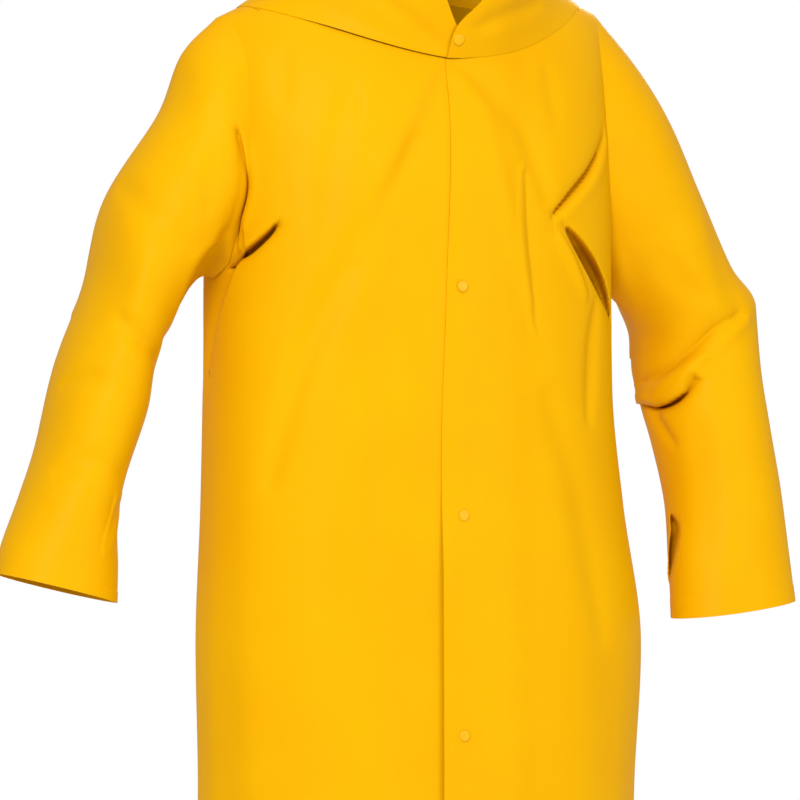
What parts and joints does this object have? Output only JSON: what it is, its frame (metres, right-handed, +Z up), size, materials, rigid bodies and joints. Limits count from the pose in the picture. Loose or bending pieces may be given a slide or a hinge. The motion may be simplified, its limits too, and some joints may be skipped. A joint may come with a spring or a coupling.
{
  "type": "hooded raincoat",
  "caption": "Long hooded raincoat in smooth yellow coated cloth, worn shape with no wearer, hood up, snap front closed, arms slightly bent",
  "frame": {"origin": "Middle of the neck base, level with the nape, where the coat rests on the wearer's neck and shoulders", "axes": "+Z up, the front faces -Y, +X is the wearer's left"},
  "size_m": [0.9699, 0.316, 1.5058],
  "materials": {
    "coat_cloth": "smooth satin PVC-coated cloth",
    "snap_caps": "moulded, semi-gloss"
  },
  "bodies": {
    "root": {"front_left": "coat_cloth", "front_right": "coat_cloth", "back": "coat_cloth", "sleeve_left": "coat_cloth", "sleeve_right": "coat_cloth", "hood_left": "coat_cloth", "hood_right": "coat_cloth", "snap_1": "snap_caps", "snap_2": "snap_caps", "snap_3": "snap_caps", "snap_4": "snap_caps", "snap_5": "snap_caps"}
  },
  "joints": []
}
